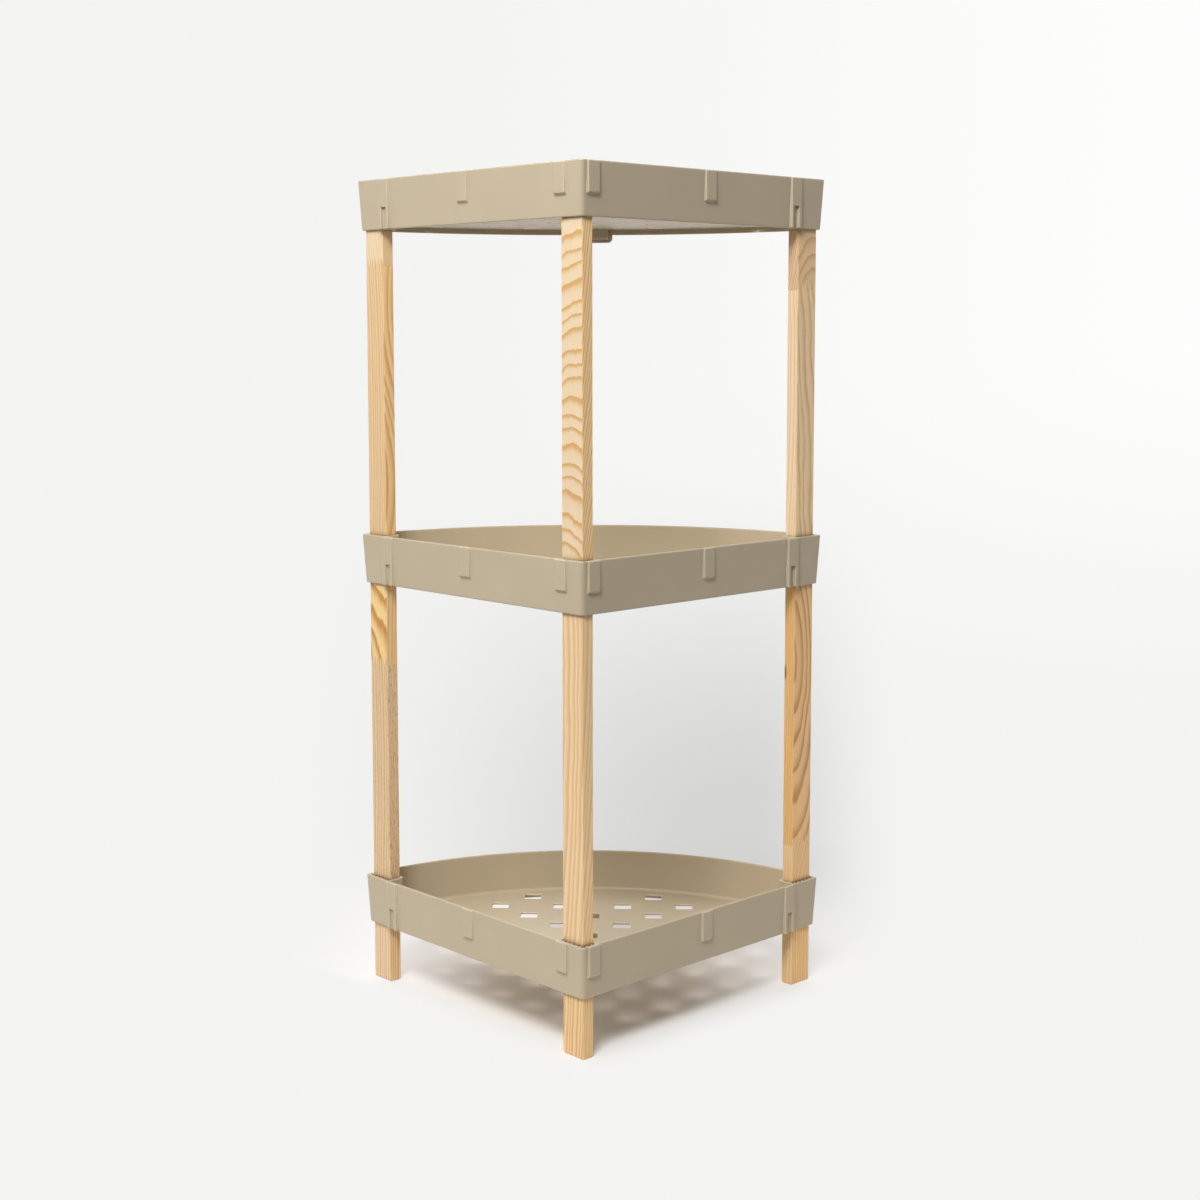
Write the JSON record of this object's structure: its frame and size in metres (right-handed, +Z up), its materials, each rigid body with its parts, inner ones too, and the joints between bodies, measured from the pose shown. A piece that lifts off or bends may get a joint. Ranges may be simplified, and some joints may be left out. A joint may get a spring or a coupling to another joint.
{
  "type": "corner shelf",
  "caption": "Open corner shelf: quarter-round plastic trays with slotted floors, pushed onto rectangular wooden posts and standing on short wooden legs.",
  "frame": {"origin": "on the ground, under the middle of the shelf's box", "axes": "+Z up; the straight walls face -X and -Y, and the curved front bulges towards +X +Y"},
  "size_m": [0.3012, 0.3012, 0.744],
  "materials": {
    "tray_plastic": "satin moulded",
    "pine": "planed, unvarnished"
  },
  "bodies": {
    "root": {"top_tray": "tray_plastic", "middle_tray": "tray_plastic", "bottom_tray": "tray_plastic", "front_leg": "pine", "upper_corner_post": "pine", "lower_corner_post": "pine", "corner_leg": "pine", "upper_left_post": "pine", "lower_left_post": "pine", "left_leg": "pine", "upper_right_post": "pine", "lower_right_post": "pine", "right_leg": "pine"}
  },
  "joints": []
}
